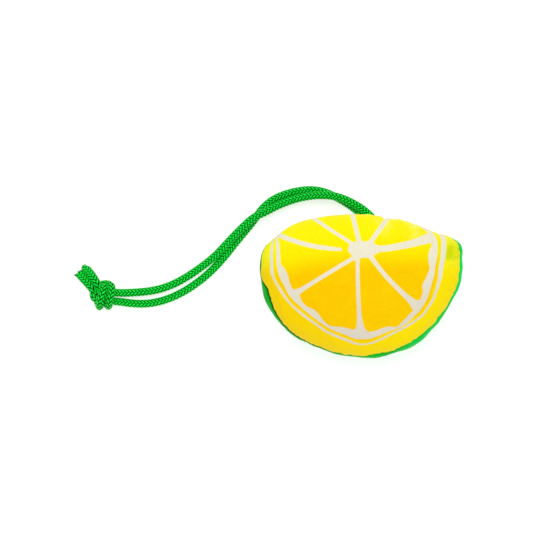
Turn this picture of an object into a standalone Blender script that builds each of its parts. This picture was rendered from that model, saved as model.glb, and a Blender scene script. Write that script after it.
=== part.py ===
"""A foldaway shopping bag stuffed into its own lemon slice pouch, with a loose drawcord.

The pouch lies on its green back, printed yellow panel up. Its mouth is drawn shut under
the upper edge, and the two ends of the drawcord come out of it, cross the table in an
S and are tied together in one overhand knot with two short tails.
Metres, +Z up, +X to the right and +Y towards the mouth, floor at z = 0 under the pouch.
"""
import math

import bmesh
import bpy
import numpy
from mathutils import Vector

MM = 0.001

# Pouch, seen from above: the outline goes anticlockwise from the right
POUCH_OUTLINE_MM = [
    (59.4, 0.0), (60.8, 9.5), (60.5, 16.0), (60.4, 22.4), (57.6, 26.4), (51.0, 30.0), (44.0, 32.0),
    (36.5, 35.3), (25.0, 39.3), (15.5, 40.4), (9.0, 42.0), (-7.0, 42.9), (-28.0, 40.5), (-41.5, 36.2),
    (-52.5, 28.2), (-58.6, 21.2), (-60.3, 11.0), (-59.4, 0.0), (-56.4, -10.4), (-47.4, -22.5),
    (-36.8, -31.2), (-18.1, -39.6), (-3.4, -42.4), (7.9, -43.5), (19.1, -41.0), (30.8, -36.7),
    (41.0, -29.0), (49.4, -18.6), (55.0, -9.3),
]
POUCH_HEIGHT = 43.0 * MM
SILHOUETTE_HEIGHT_LOW = 14.0 * MM
SILHOUETTE_HEIGHT_MOUTH = 25.0 * MM
DOME_SHIFT = 3.0 * MM
DOME_FULLNESS = 0.87
FLOOR_SPOT = 0.42
MOUTH_TUCK = 2.2
MOUTH_TUCK_SPREAD = math.radians(34.0)

# Seam between the yellow and the green panel: bearing round the pouch, latitude on its side
SEAM_DEGREES = [
    (-90.0, 11.0), (-80.0, 17.0), (-62.0, 19.0), (-47.0, 21.0), (-35.0, 19.5), (-26.0, 16.5), (-12.0, 15.5),
    (0.0, 17.4), (10.0, 16.5), (15.5, 13.0), (21.0, 14.5), (27.0, 6.0), (35.0, -8.0), (50.0, -24.0),
    (75.0, -31.0), (110.0, -26.0), (136.0, -16.0), (155.0, 0.0), (163.0, 4.0), (169.0, 8.5), (173.5, 5.0),
    (177.0, 7.0), (181.0, 16.5), (188.0, 18.5), (195.0, 15.6), (202.0, 13.0), (210.0, 10.3), (240.0, 9.2),
    (262.0, 9.5), (270.0, 11.0),
]
SEAM_GAP_ANGLE = 0.009
SEAM_CORE_HEIGHT = 18.0 * MM
SEAM_CORE_GAP = 0.4 * MM

# Drawn mouth under the upper edge, with gathers round it
MOUTH_BEARING = math.radians(75.0)
MOUTH_LATITUDE = math.radians(-31.0)
MOUTH_AXIS = Vector((-0.12, 0.84, -0.53)).normalized()
GATHER_COUNT = 11
GATHER_DEPTH = 1.1 * MM
GATHER_REACH = 12.0 * MM
GATHER_SPREAD = 8.0 * MM
POUCH_HEART = Vector((0.0, 12.0, 16.0)) * MM
HEM_PROFILE_MM = [(1.4, 2.4), (2.0, 3.2), (3.4, 4.6), (5.0, 5.9), (6.4, 6.1), (7.0, 5.2), (6.5, 4.0)]
HEM_DIMPLE = 5.4 * MM
HEM_RUFFLE = 0.11

# Drawcord: a round braid. Each station is the middle of the two strands, the height of
# the lower strand's centre, and how far apart they lie, negative where they have swapped sides
CORD_DIAMETER = 5.0 * MM
CORD_TOUCH = 5.3 * MM
CORD_STATIONS_MM = [
    (7.0, 39.2, 5.0, 3.6), (4.6, 41.3, 4.4, 3.5), (3.2, 43.0, 4.0, 3.3), (0.5, 45.6, 3.3, 2.6),
    (-2.9, 48.0, 2.8, 2.0), (-7.8, 50.9, 2.5, 1.4), (-14.4, 54.0, 2.5, 0.2), (-21.7, 55.9, 2.5, -2.2),
    (-30.3, 56.4, 2.5, -3.8), (-41.3, 54.4, 2.5, -4.6), (-51.8, 50.3, 2.5, -4.6), (-58.8, 45.4, 2.5, -2.7),
    (-62.1, 42.8, 2.6, -0.5), (-65.1, 40.0, 2.5, 1.6), (-75.4, 28.9, 2.5, 3.3), (-85.9, 16.8, 2.5, 4.5),
    (-94.9, 8.7, 2.5, 6.0), (-103.6, 2.4, 2.5, 6.6), (-112.5, -2.6, 2.5, 7.0), (-121.5, -5.9, 2.5, 7.3),
    (-130.0, -7.4, 2.5, 7.4), (-138.5, -7.6, 2.5, 6.6), (-144.0, -7.3, 2.7, 5.6), (-148.0, -7.0, 3.1, 5.3),
]
CORD_POINT_STEP = 6.0 * MM
TAIL_POINT_STEP = 2.5 * MM

# Knot: the way of each strand through it, from where it comes in to the end of its tail
KNOT_CENTRE = Vector((-156.7, -6.3, 0.0)) * MM
KNOT_ROUTE_A_MM = [
    (5.4, 2.0, 3.9), (3.4, 1.8, 5.2), (1.0, 1.2, 6.1), (-1.6, 1.4, 6.2), (-3.0, 2.6, 5.3), (-2.6, 4.4, 4.6),
    (-0.6, 5.2, 5.6), (1.3, 4.7, 8.0), (1.2, 2.2, 10.2), (0.0, -1.0, 10.6), (-0.9, -4.0, 9.2),
    (-1.3, -6.2, 6.2), (-1.9, -5.6, 3.3), (-2.9, -3.0, 2.5), (-3.9, -0.2, 2.8), (-4.8, 2.1, 4.6),
    (-5.6, 4.0, 6.2),
]
KNOT_ROUTE_B_MM = [
    (5.4, -3.0, 3.8), (3.0, -3.1, 5.0), (0.4, -2.8, 5.8), (-2.4, -2.2, 5.8), (-4.8, -0.6, 5.0),
    (-4.9, 2.3, 3.4), (-2.4, 5.4, 2.7), (0.6, 7.0, 3.4), (3.7, 7.1, 5.6), (5.9, 5.6, 8.1), (6.1, 2.4, 10.0),
    (5.1, -1.8, 10.2), (4.4, -5.0, 8.0), (3.9, -6.0, 5.0), (2.7, -4.6, 2.8), (1.0, -1.0, 2.5),
    (-0.8, 2.0, 3.0), (-1.6, 4.6, 6.0), (-2.6, 7.2, 7.0),
]
TAIL_A_MM = [(-7.8, 6.4, 5.6), (-10.9, 9.8, 3.9), (-13.1, 12.3, 3.0), (-15.4, 14.8, 2.7)]
TAIL_B_MM = [(-4.3, 10.2, 6.0), (-6.6, 13.1, 4.2), (-8.6, 15.4, 3.2), (-10.5, 17.4, 2.7)]
KNOT_HEART = Vector((0.0, 0.4, 6.2)) * MM
KNOT_LEAST_RADIUS = 5.0 * MM

# Fineness of the faceted surfaces
POUCH_SIDES = 80
FRONT_ROWS = 18
BACK_ROWS = 9
CORE_FRACTIONS = (0.66, 0.33)
HEM_SIDES = 44
MOUTH_CROWDING = 0.45
KNOT_SUBDIVISIONS = 4

YELLOW_CLOTH = (0.97, 0.62, 0.0, 1.0)
GREEN_CLOTH = (0.0, 0.42, 0.08, 1.0)
GREEN_CORD = (0.0, 0.50, 0.06, 1.0)


def smooth_route(points, steps_per_leg=12, closed=False):
    """Points of a Catmull-Rom curve through the given points."""
    points = [Vector(point) for point in points]
    if closed:
        line = [points[-1], *points, points[0], points[1]]
    else:
        line = [2 * points[0] - points[1], *points, 2 * points[-1] - points[-2]]
    route = []
    for before, start, end, after in zip(line, line[1:], line[2:], line[3:]):
        for step in range(steps_per_leg):
            t = step / steps_per_leg
            straight = (end - before) * t
            bend = (2 * before - 5 * start + 4 * end - after) * t ** 2
            twist = (3 * start - before - 3 * end + after) * t ** 3
            route.append(start + (straight + bend + twist) / 2)
    if not closed:
        route.append(points[-1])
    return route


def evenly_spaced(route, step):
    """The route read again at even distances, as close to the given step as fits."""
    table = numpy.array([tuple(point) for point in route])
    lengths = numpy.linalg.norm(numpy.diff(table, axis=0), axis=1)
    along = numpy.concatenate(([0.0], numpy.cumsum(lengths)))
    count = max(2, round(along[-1] / step) + 1)
    places = numpy.linspace(0.0, along[-1], count)
    return [Vector([numpy.interp(place, along, table[:, axis]) for axis in range(3)]) for place in places]


def outline_table():
    """Bearing and radius of the pouch's outline, closed both ways round."""
    outline = smooth_route([(x * MM, y * MM, 0.0) for x, y in POUCH_OUTLINE_MM], closed=True)
    pairs = sorted((math.atan2(point.y, point.x) % math.tau, point.xy.length) for point in outline)
    return [pair[0] for pair in pairs], [pair[1] for pair in pairs]


OUTLINE_BEARINGS, OUTLINE_RADII = outline_table()


def outline_radius(bearing):
    return float(numpy.interp(bearing % math.tau, OUTLINE_BEARINGS, OUTLINE_RADII, period=math.tau))


def seam_table():
    """Bearing and latitude of the seam once round the pouch, on a smooth curve."""
    seam = smooth_route([(bearing, latitude, 0.0) for bearing, latitude in SEAM_DEGREES])
    return [math.radians(point.x) for point in seam], [math.radians(point.y) for point in seam]


SEAM_BEARINGS, SEAM_LATITUDES = seam_table()


def seam_latitude(bearing):
    return float(numpy.interp(bearing, SEAM_BEARINGS, SEAM_LATITUDES, period=math.tau))


def plain_pouch_point(bearing, latitude):
    """A point on the stuffed pouch without its gathers: latitude 0 is the silhouette."""
    radius = outline_radius(bearing)
    towards_mouth = 0.5 + 0.5 * math.sin(bearing)
    side = SILHOUETTE_HEIGHT_LOW + (SILHOUETTE_HEIGHT_MOUTH - SILHOUETTE_HEIGHT_LOW) * towards_mouth ** 1.5
    if latitude >= 0.0:
        reach = radius * math.cos(latitude) ** DOME_FULLNESS
        height = side + (POUCH_HEIGHT - side) * math.sin(latitude) ** DOME_FULLNESS
        shift = DOME_SHIFT * math.sin(latitude) ** 2
    else:
        off_mouth = math.remainder(bearing - MOUTH_BEARING, math.tau) / MOUTH_TUCK_SPREAD
        tuck = 1.0 + MOUTH_TUCK * math.exp(-off_mouth ** 2)
        floor_radius = FLOOR_SPOT * radius
        reach = floor_radius + (radius - floor_radius) * math.cos(latitude) ** tuck
        height = side * (1.0 + math.sin(latitude))
        shift = 0.0
    return Vector((reach * math.cos(bearing), reach * math.sin(bearing) + shift, height))


MOUTH = plain_pouch_point(MOUTH_BEARING, MOUTH_LATITUDE)
MOUTH_ACROSS = MOUTH_AXIS.cross(Vector((0.0, 0.0, 1.0))).normalized()
MOUTH_UP = MOUTH_ACROSS.cross(MOUTH_AXIS)


def pouch_point(bearing, latitude):
    """A point on the pouch, with the gathers that run into the drawn mouth."""
    point = plain_pouch_point(bearing, latitude)
    offset = point - MOUTH
    turn = math.atan2(offset.dot(MOUTH_UP), offset.dot(MOUTH_ACROSS))
    fade = math.exp(-((offset.length - GATHER_REACH) / GATHER_SPREAD) ** 2)
    lift = GATHER_DEPTH * fade * math.cos(GATHER_COUNT * turn)
    lifted = point + lift * (point - POUCH_HEART).normalized()
    lifted.z = max(lifted.z, 0.0)
    return lifted


def pouch_bearings():
    """Bearings round the pouch, closer together on the side of the mouth."""
    even = [math.tau * side / POUCH_SIDES for side in range(POUCH_SIDES)]
    return [bearing - MOUTH_CROWDING * math.sin(bearing - MOUTH_BEARING) for bearing in even]


def principled(name, colour, roughness):
    material = bpy.data.materials.new(name)
    material.use_nodes = True
    shader = material.node_tree.nodes["Principled BSDF"]
    shader.inputs["Base Color"].default_value = colour
    shader.inputs["Roughness"].default_value = roughness
    shader.inputs["Metallic"].default_value = 0.0
    material.diffuse_color = colour
    return material


def finish_object(obj, material, collection):
    obj.data.materials.clear()
    obj.data.materials.append(material)
    collection.objects.link(obj)
    return obj


def lofted_solid(name, first_pole, rings, last_pole):
    """A closed solid through rings of equal count, closed by a fan at each end."""
    mesh = bmesh.new()
    first = mesh.verts.new(first_pole)
    rows = [[mesh.verts.new(point) for point in ring] for ring in rings]
    last = mesh.verts.new(last_pole)
    sides = len(rings[0])
    for side in range(sides):
        following = (side + 1) % sides
        mesh.faces.new((first, rows[0][side], rows[0][following]))
        for upper, lower in zip(rows, rows[1:]):
            mesh.faces.new((upper[side], lower[side], lower[following], upper[following]))
        mesh.faces.new((last, rows[-1][following], rows[-1][side]))
    bmesh.ops.recalc_face_normals(mesh, faces=mesh.faces)
    data = bpy.data.meshes.new(name)
    mesh.to_mesh(data)
    mesh.free()
    data.shade_smooth()
    return bpy.data.objects.new(name, data)


def core_rings(rim, heart):
    """Rings that close a panel's stuffed half across the pouch, from its rim inwards."""
    return [[heart.lerp(point, fraction) for point in rim] for fraction in CORE_FRACTIONS]


def front_panel():
    bearings = pouch_bearings()
    rings = []
    for row in range(1, FRONT_ROWS + 1):
        share = row / FRONT_ROWS
        ring = []
        for bearing in bearings:
            rim = seam_latitude(bearing) + SEAM_GAP_ANGLE
            ring.append(pouch_point(bearing, math.pi / 2 + (rim - math.pi / 2) * share))
        rings.append(ring)
    heart = Vector((0.0, 0.0, SEAM_CORE_HEIGHT + SEAM_CORE_GAP / 2))
    top = pouch_point(0.0, math.pi / 2)
    return lofted_solid("front_panel", top, rings + core_rings(rings[-1], heart), heart)


def back_panel():
    bearings = pouch_bearings()
    rings = []
    for row in range(BACK_ROWS + 1):
        share = row / BACK_ROWS
        ring = []
        for bearing in bearings:
            rim = seam_latitude(bearing) - SEAM_GAP_ANGLE
            ring.append(pouch_point(bearing, rim + (-math.pi / 2 - rim) * share))
        rings.append(ring)
    heart = Vector((0.0, 0.0, SEAM_CORE_HEIGHT - SEAM_CORE_GAP / 2))
    core = list(reversed(core_rings(rings[0], heart)))
    return lofted_solid("back_panel", heart, core + rings, Vector((0.0, 0.0, 0.0)))


def mouth_hem():
    """The drawn channel of the mouth: a short ruffle that flares from its neck."""
    rings = []
    for along, radius in HEM_PROFILE_MM:
        ring = []
        for side in range(HEM_SIDES):
            turn = math.tau * side / HEM_SIDES
            ruffled = radius * MM * (1.0 + HEM_RUFFLE * math.cos(GATHER_COUNT * turn))
            outwards = math.cos(turn) * MOUTH_ACROSS + math.sin(turn) * MOUTH_UP
            ring.append(MOUTH + along * MM * MOUTH_AXIS + ruffled * outwards)
        rings.append(ring)
    neck = MOUTH + HEM_PROFILE_MM[0][0] * MM * MOUTH_AXIS
    return lofted_solid("mouth_hem", neck, rings, MOUTH + HEM_DIMPLE * MOUTH_AXIS)


def strand_routes():
    """Both strands' points from the mouth to the knot: strand a lies on strand b."""
    strand_a = []
    strand_b = []
    stations = [Vector((x, y)) for x, y, height, spacing in CORD_STATIONS_MM]
    for index, (x, y, height, spacing) in enumerate(CORD_STATIONS_MM):
        before = stations[max(index - 1, 0)]
        after = stations[min(index + 1, len(stations) - 1)]
        along = (before - after).normalized()
        across = Vector((-along.y, along.x)) * spacing / 2
        rise = math.sqrt(max((CORD_TOUCH / MM) ** 2 - spacing ** 2, 0.0))
        strand_a.append(Vector((x + across.x, y + across.y, height + rise)) * MM)
        strand_b.append(Vector((x - across.x, y - across.y, height)) * MM)
    return strand_a, strand_b


def tube(name, route, point_step):
    """A plain round tube with closed ends along the route, on or above the floor."""
    curve = bpy.data.curves.new(name, "CURVE")
    curve.dimensions = "3D"
    curve.bevel_depth = CORD_DIAMETER / 2
    curve.bevel_resolution = 3
    curve.use_fill_caps = True
    points = evenly_spaced(smooth_route(route), point_step)
    spline = curve.splines.new("POLY")
    spline.points.add(len(points) - 1)
    for place, point in zip(spline.points, points):
        place.co = (point.x, point.y, max(point.z, CORD_DIAMETER / 2), 1.0)
    return bpy.data.objects.new(name, curve)


def from_knot(points_mm):
    return [KNOT_CENTRE + Vector(point) * MM for point in points_mm]


def knot_radius(direction, centres):
    """How far the knot's cords reach from its heart in one direction."""
    cord_radius = CORD_DIAMETER / 2
    reach = KNOT_LEAST_RADIUS
    for centre in centres:
        nearest = centre.dot(direction)
        inside = cord_radius ** 2 - centre.length_squared + nearest ** 2
        if inside > 0.0:
            reach = max(reach, nearest + math.sqrt(inside))
    return reach


def cord_knot():
    """The outer form of the overhand knot, with both strands run through it."""
    heart = KNOT_CENTRE + KNOT_HEART
    centres = []
    for route_mm in (KNOT_ROUTE_A_MM, KNOT_ROUTE_B_MM):
        centres += [point - heart for point in smooth_route(from_knot(route_mm), steps_per_leg=4)]
    mesh = bmesh.new()
    bmesh.ops.create_icosphere(mesh, subdivisions=KNOT_SUBDIVISIONS, radius=1.0)
    for vertex in mesh.verts:
        direction = vertex.co.normalized()
        vertex.co = heart + knot_radius(direction, centres) * direction
        vertex.co.z = max(vertex.co.z, 0.0)
    data = bpy.data.meshes.new("cord_knot")
    mesh.to_mesh(data)
    mesh.free()
    data.shade_smooth()
    return bpy.data.objects.new("cord_knot", data)


def build():
    for obj in list(bpy.data.objects):
        bpy.data.objects.remove(obj)
    collection = bpy.data.collections.new("shopping_bag_in_slice_pouch")
    bpy.context.scene.collection.children.link(collection)

    finish_object(front_panel(), principled("printed_yellow_cloth", YELLOW_CLOTH, 0.55), collection)
    finish_object(back_panel(), principled("green_cloth", GREEN_CLOTH, 0.55), collection)
    finish_object(mouth_hem(), principled("green_hem_cloth", GREEN_CLOTH, 0.55), collection)

    strand_a, strand_b = strand_routes()
    cords = [
        tube("cord_strand_a", strand_a, CORD_POINT_STEP),
        tube("cord_strand_b", strand_b, CORD_POINT_STEP),
        cord_knot(),
        tube("cord_tail_a", from_knot(TAIL_A_MM), TAIL_POINT_STEP),
        tube("cord_tail_b", from_knot(TAIL_B_MM), TAIL_POINT_STEP),
    ]
    for cord in cords:
        finish_object(cord, principled(cord.name + "_braid", GREEN_CORD, 0.6), collection)


build()
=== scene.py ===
"""The looks of a foldaway shopping bag stuffed into its lemon slice pouch.

Every piece is made in millimetres with numpy, then scaled to metres. The pouch's cloth
follows the same pillow shape as its solids, with gathers, seam puckers and soft dents,
and the drawcord is a real sixteen-strand braid led through its knot.
"""
import math

import bpy
import numpy as np
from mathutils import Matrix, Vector, noise


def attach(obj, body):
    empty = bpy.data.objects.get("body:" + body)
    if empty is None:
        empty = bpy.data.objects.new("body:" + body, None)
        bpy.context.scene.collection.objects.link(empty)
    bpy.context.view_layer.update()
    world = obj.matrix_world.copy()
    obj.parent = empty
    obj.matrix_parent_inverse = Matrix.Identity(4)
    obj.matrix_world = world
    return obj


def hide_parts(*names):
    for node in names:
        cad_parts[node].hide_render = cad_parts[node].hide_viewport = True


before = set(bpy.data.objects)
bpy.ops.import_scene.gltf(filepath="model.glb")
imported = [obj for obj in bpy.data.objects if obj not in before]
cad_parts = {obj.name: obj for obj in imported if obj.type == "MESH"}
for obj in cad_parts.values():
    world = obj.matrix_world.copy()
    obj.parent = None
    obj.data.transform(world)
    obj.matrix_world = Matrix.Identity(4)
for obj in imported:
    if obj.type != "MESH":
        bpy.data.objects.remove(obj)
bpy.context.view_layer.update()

MM = 0.001
BODY = "root"

# Camera: straight above, 540 pixels across 324 mm on a plane 20 mm over the table
PHOTO_MM_PER_PIXEL = 0.6
PHOTO_PIXELS = 540
CAMERA_FOOT_MM = (-54.6, 9.45)
CAMERA_PLANE_MM = 20.0
CAMERA_RISE_MM = 1200.0
SENSOR_MM = 36.0
CAMERA_CLIP_END_M = 10.0

# Pouch, seen from above: the outline goes anticlockwise from the right
POUCH_OUTLINE_MM = [
    (59.4, 0), (60.8, 9.5), (60.5, 16), (60.4, 22.4), (57.6, 26.4), (51, 30), (44, 32), (36.5, 35.3),
    (25, 39.3), (15.5, 40.4), (9, 42), (-7, 42.9), (-28, 40.5), (-41.5, 36.2), (-52.5, 28.2),
    (-58.6, 21.2), (-60.3, 11), (-59.4, 0), (-56.4, -10.4), (-47.4, -22.5), (-36.8, -31.2),
    (-18.1, -39.6), (-3.4, -42.4), (7.9, -43.5), (19.1, -41), (30.8, -36.7), (41, -29), (49.4, -18.6),
    (55, -9.3),
]
POUCH_HEIGHT_MM = 43.0
SILHOUETTE_LOW_MM = 14.0
SILHOUETTE_MOUTH_MM = 25.0
SILHOUETTE_RISE_POWER = 1.5
DOME_SHIFT_MM = 3.0
DOME_FULLNESS = 0.87
FLOOR_SPOT = 0.42
MOUTH_TUCK = 2.2
MOUTH_TUCK_SPREAD = math.radians(34.0)
SEAM_DEGREES = [
    (-90, 11), (-80, 17), (-62, 19), (-47, 21), (-35, 19.5), (-26, 16.5), (-12, 15.5), (0, 17.4),
    (10, 16.5), (15.5, 13), (21, 14.5), (27, 6), (35, -8), (50, -24), (75, -31), (110, -26), (136, -16),
    (155, 0), (163, 4), (169, 8.5), (173.5, 5), (177, 7), (181, 16.5), (188, 18.5), (195, 15.6),
    (202, 13), (210, 10.3), (240, 9.2), (262, 9.5), (270, 11),
]
SEAM_STEPS_DEGREES = [
    (0, -2), (6, -1), (15, 0), (120, 0), (198, 0), (207, 1.2), (221, 1), (227, -1.8), (232, 0.6),
    (240, 0.6), (246.5, -1.9), (252.5, 0.8), (257.5, -1.3), (261, 0.6), (265.5, -1.9), (270.5, 0.6),
    (284, 0), (295, -3), (305, 0), (316, -1), (329, -3), (337, -0.5), (345, -2.6), (353, -1.4),
    (360, -2),
]
# How far the outline stands out at each bearing in degrees, in millimetres
OUTLINE_TRIM_MM = [
    (0, -0.3), (8, 0), (25, 0.7), (36, 0), (150, 0), (162, 0.3), (171, 0.4), (178, 0), (190, 0.3),
    (200, 0.8), (206, 1.1), (221, 1.1), (226, 0.5), (231, 0.8), (240, 0.35), (250, 0.8), (262, 0.8),
    (271, 0.6), (277, 0.2), (290, 0.2), (299, -0.3), (305, 0.1), (320, 0.1), (327, -0.5), (334, 0),
    (345, -0.3), (360, -0.3),
]
OPEN_SEAM_BEARING = math.radians(-40.0)
OPEN_SEAM_MM = 1.6
SEAM_GAP_ANGLE = 0.006
CORE_HEART_MM = (0.0, 0.0, 18.0)
CORE_FRACTIONS = (0.8, 0.5, 0.2)
MOUTH_BEARING = math.radians(75.0)
MOUTH_LATITUDE = math.radians(-31.0)
MOUTH_AXIS = np.array([-0.12, 0.84, -0.53])
MOUTH_AXIS /= np.linalg.norm(MOUTH_AXIS)
GATHER_COUNT = 11
RUN_BEARING = math.radians(56.0)
RUN_SPREAD = math.radians(14.0)
NOTCH_BEARING = math.radians(70.8)
NOTCH_SPREAD = math.radians(1.5)
POUCH_HEART_MM = np.array([0.0, 12.0, 16.0])
CLOTH_RADIUS_MM = 30.0

# Cord: each station is the middle of the two strands, the height of the lower strand's
# centre, and how far apart they lie, negative where they have swapped sides
CORD_DIAMETER_MM = 5.0
CORD_TOUCH_MM = 5.3
CORD_STATIONS_MM = [
    (7, 39.2, 5, 3.6), (4.6, 41.3, 4.4, 3.5), (3.2, 43, 4, 3.3), (0.5, 45.6, 3.3, 2.6),
    (-2.9, 48, 2.8, 2), (-7.8, 50.9, 2.5, 1.4), (-14.4, 54, 2.5, 0.2), (-21.7, 55.9, 2.5, -2.2),
    (-30.3, 56.4, 2.5, -3.8), (-41.3, 54.4, 2.5, -4.6), (-51.8, 50.3, 2.5, -4.6),
    (-58.8, 45.4, 2.5, -2.7), (-62.1, 42.8, 2.6, -0.5), (-65.1, 40, 2.5, 1.6), (-75.4, 28.9, 2.5, 3.3),
    (-85.9, 16.8, 2.5, 4.5), (-94.9, 8.7, 2.5, 6), (-103.6, 2.4, 2.5, 6.6), (-112.5, -2.6, 2.5, 7),
    (-121.5, -5.9, 2.5, 7.3), (-130, -7.4, 2.5, 7.4), (-138.5, -7.6, 2.5, 6.6), (-144, -7.3, 2.7, 5.6),
    (-148, -7, 3.1, 5.3),
]

# Knot and tails: the middle of each strand, from the floor under the knot's centre
KNOT_CENTRE_MM = np.array([-156.7, -6.3, 0.0])
KNOT_ROUTE_A_MM = [
    (5.4, 2, 3.9), (3.4, 1.8, 5.2), (1, 1.2, 6.1), (-1.6, 1.4, 6.2), (-3, 2.6, 5.3), (-2.6, 4.4, 4.6),
    (-0.6, 5.2, 5.6), (1.3, 4.7, 8), (1.2, 2.2, 10.2), (0, -1, 10.6), (-0.9, -4, 9.2),
    (-1.3, -6.2, 6.2), (-1.9, -5.6, 3.3), (-2.9, -3, 2.5), (-3.9, -0.2, 2.8), (-4.8, 2.1, 4.6),
    (-5.6, 4, 6.2),
]
KNOT_ROUTE_B_MM = [
    (5.4, -3, 3.8), (3, -3.1, 5), (0.4, -2.8, 5.8), (-2.4, -2.2, 5.8), (-4.8, -0.6, 5),
    (-4.9, 2.3, 3.4), (-2.4, 5.4, 2.7), (0.6, 7, 3.4), (3.7, 7.1, 5.6), (5.9, 5.6, 8.1), (6.1, 2.4, 10),
    (5.1, -1.8, 10.2), (4.4, -5, 8), (3.9, -6, 5), (2.7, -4.6, 2.8), (1, -1, 2.5), (-0.8, 2, 3),
    (-1.6, 4.6, 6), (-2.6, 7.2, 7),
]
TAIL_A_MM = [(-7.8, 6.4, 5.6), (-10.9, 9.8, 3.9), (-13.1, 12.3, 3.0), (-15.4, 14.8, 2.7)]
TAIL_B_MM = [(-4.3, 10.2, 6.0), (-6.6, 13.1, 4.2), (-8.6, 15.4, 3.2), (-10.5, 17.4, 2.7)]
STRANDS = [
    ("a", 1, KNOT_ROUTE_A_MM, TAIL_A_MM),
    ("b", -1, KNOT_ROUTE_B_MM, TAIL_B_MM),
]
CORD_START_MM = 6.0
EASING_STEP_MM = 0.5
EASING_PASSES = 70
EASING_FADE_MM = 15.0

# Braid: eight carriers each way, over two and under two: four waves a turn
CARRIERS_EACH_WAY = 8
WAVES_A_TURN = 4
BRAID_PITCH_MM = 17.6
BRAID_MIDDLE_MM = 2.0
BRAID_WAVE_MM = 0.26
YARN_WIDTH_MM = 1.2
YARN_THICKNESS_MM = 0.62
YARN_STEP_MM = 0.46
YARN_SIDES = 6
YARN_TURNS = np.arange(YARN_SIDES) * math.tau / YARN_SIDES
YARN_CROWN_RISE = 0.35
YARN_EDGE_DROP = 0.2
CORE_RADIUS_MM = 1.5
CORE_SIDES = 12
CORE_STEP_MM = 3 * YARN_STEP_MM

# Cut ends: how much shorter than the route each is, how much longer on one side, and how
# much shorter at both sides
TAIL_SIDE = np.array([-0.72, -0.69, 0.0])
TAIL_CLOSER_MM = 0.2
TAIL_CUTS_MM = {"a": (0.9, 0.4, 0.3), "b": (-1.3, 0.2, 2.9)}
WHOLE_CUT_MM = (0.0, 0.0, 0.0)
PAST_END_MM = 2.0
TAIL_FLARE_MM = 0.3
FLARE_FROM_END_MM = 14.0
FLARE_LENGTH_MM = 8.0
FLARE_WIDENING = 0.1
FRAY_LENGTH_MM = 2.0
FRAY_SPREAD_MM = 0.3
FRAY_MOST = 1.2
FRAY_NARROWING = 0.25
RAGGED_MM = 0.3
RAGGED_ANGLE = 3.7
CORE_SUNK_MM = 0.2
CORE_POINT_SHARE = 0.4
# The height given to the core's cut end, which lifts it out of the painted hollow shade
CUT_HEIGHT = 0.75


def smooth_route(points, steps=12, closed=False):
    """Points of a Catmull-Rom curve through the given points."""
    points = np.asarray(points, dtype=float)
    if closed:
        line = np.vstack([points[-1:], points, points[:2]])
    else:
        line = np.vstack([2 * points[0] - points[1], points, 2 * points[-1] - points[-2]])
    route = []
    for before, start, end, after in zip(line, line[1:], line[2:], line[3:]):
        for t in np.arange(steps) / steps:
            straight = (end - before) * t
            bend = (2 * before - 5 * start + 4 * end - after) * t ** 2
            twist = (3 * start - before - 3 * end + after) * t ** 3
            route.append(start + (straight + bend + twist) / 2)
    if not closed:
        route.append(points[-1])
    return np.array(route)


def along_route(route):
    steps = np.linalg.norm(np.diff(route, axis=0), axis=1)
    return np.concatenate(([0.0], np.cumsum(steps)))


def at_places(places, along, values):
    """The rows of values between those given at the lengths in along."""
    return np.stack([np.interp(places, along, values[:, axis]) for axis in range(3)], axis=1)


def evenly_spaced(route, step):
    along = along_route(route)
    places = np.linspace(0.0, along[-1], max(2, round(along[-1] / step) + 1))
    return at_places(places, along, route)


def unit(vectors):
    """The vectors brought to length 1."""
    return vectors / np.linalg.norm(vectors, axis=-1, keepdims=True)


def mesh_object(name, points_mm, faces):
    mesh = bpy.data.meshes.new(name)
    mesh.from_pydata((np.asarray(points_mm) * MM).tolist(), [], faces)
    mesh.validate()
    mesh.shade_smooth()
    obj = bpy.data.objects.new(name, mesh)
    bpy.context.scene.collection.objects.link(obj)
    return obj


def add_point_values(obj, name, values):
    attribute = obj.data.attributes.new(name, "FLOAT", "POINT")
    attribute.data.foreach_set("value", np.asarray(values, dtype=np.float32))


# One unit of the print's UV map is 100 mm of cloth
MM_PER_UV = 100.0


def add_print_layer(obj, spots_mm):
    """The print's UV map, from each point's place on the flat cloth."""
    layer = obj.data.uv_layers.new(name="print")
    corners = np.zeros(len(obj.data.loops), dtype=np.int32)
    obj.data.loops.foreach_get("vertex_index", corners)
    layer.data.foreach_set("uv", (spots_mm[corners] / MM_PER_UV).astype(np.float32).ravel())


def grid_faces(rows, sides, first):
    """Quads between rows of a closed ring of points."""
    faces = []
    for row in range(rows - 1):
        upper = first + row * sides
        lower = upper + sides
        for side in range(sides):
            following = (side + 1) % sides
            faces.append((upper + side, lower + side, lower + following, upper + following))
    return faces


# Camera

def make_camera():
    camera = bpy.data.cameras.new("camera")
    camera.sensor_width = SENSOR_MM
    camera.lens = SENSOR_MM * CAMERA_RISE_MM / (PHOTO_PIXELS * PHOTO_MM_PER_PIXEL)
    camera.clip_end = CAMERA_CLIP_END_M
    obj = bpy.data.objects.new("camera", camera)
    obj.location = Vector((*CAMERA_FOOT_MM, CAMERA_PLANE_MM + CAMERA_RISE_MM)) * MM
    bpy.context.scene.collection.objects.link(obj)
    bpy.context.scene.camera = obj


# Shader helpers

def set_inputs(node, values):
    for name, value in values.items():
        node.inputs[name].default_value = value


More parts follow.
